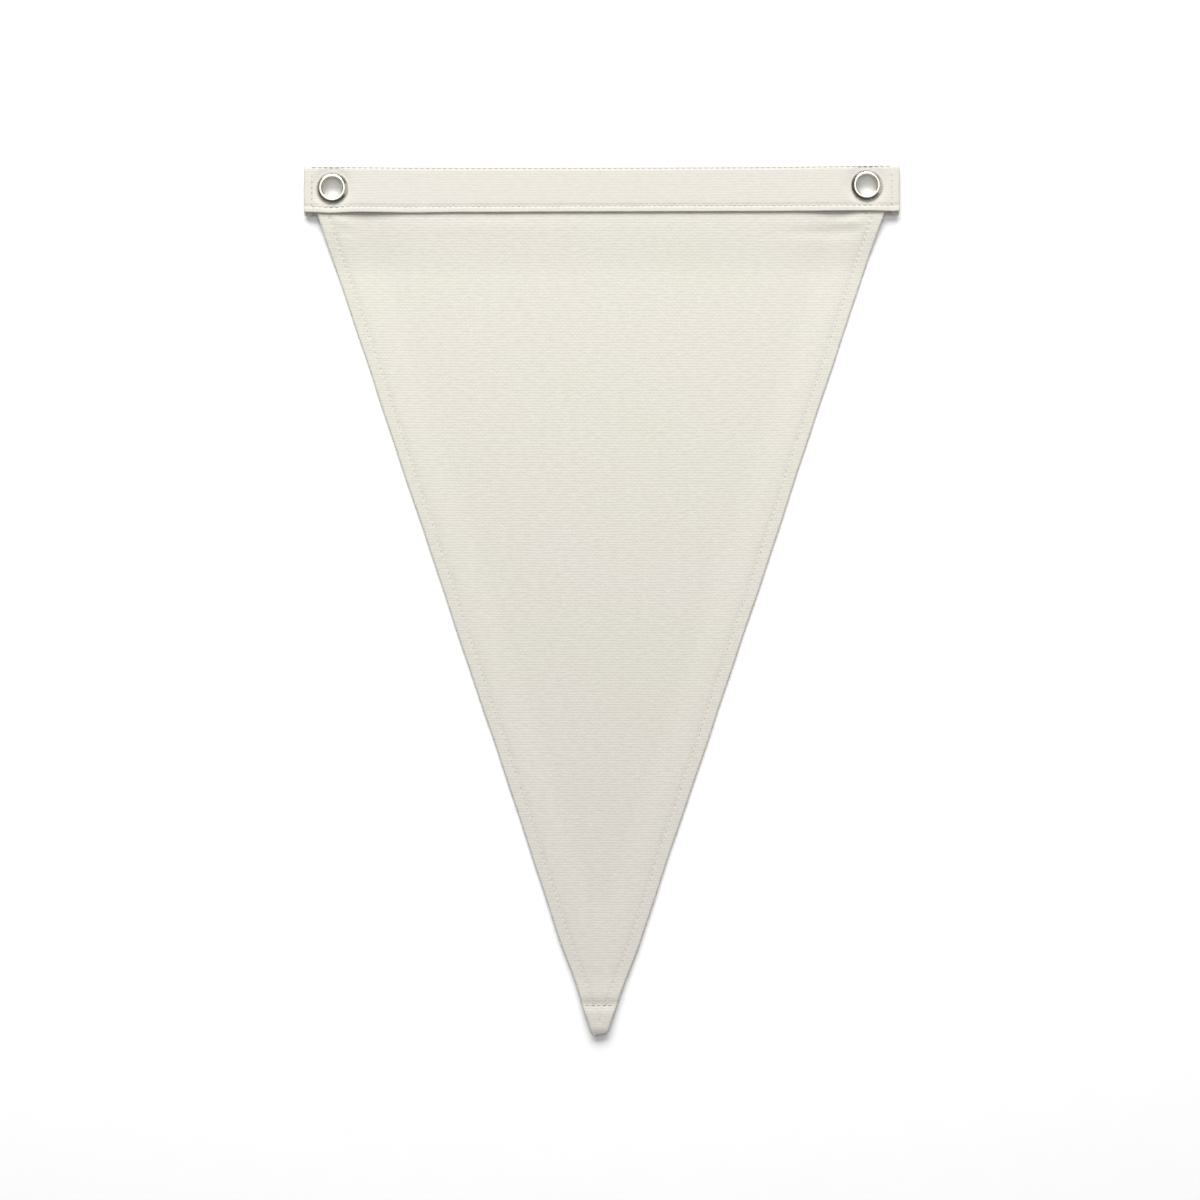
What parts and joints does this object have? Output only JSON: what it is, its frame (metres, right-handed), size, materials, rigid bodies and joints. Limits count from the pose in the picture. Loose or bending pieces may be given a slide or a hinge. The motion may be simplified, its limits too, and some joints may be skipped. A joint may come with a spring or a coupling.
{
  "type": "pennant flag",
  "caption": "Blank canvas pennant: a hemmed triangle hanging from a stitched, folded heading with an eyelet near each end.",
  "frame": {"origin": "middle of the flag's outline, on the surface it lies on", "axes": "+Y from the tip to the heading, +X to the right seen from the front, +Z out of the front face"},
  "size_m": [0.3126, 0.4583, 0.0076],
  "materials": {
    "canvas_body": "natural plain-weave cotton canvas, matt",
    "canvas_heading": "natural plain-weave cotton canvas, matt, topstitched",
    "nickel_plate": "polished nickel plate on pressed brass"
  },
  "bodies": {
    "root": {"flag_body": "canvas_body", "heading": "canvas_heading", "eyelet_left": "nickel_plate", "eyelet_right": "nickel_plate"}
  },
  "joints": []
}
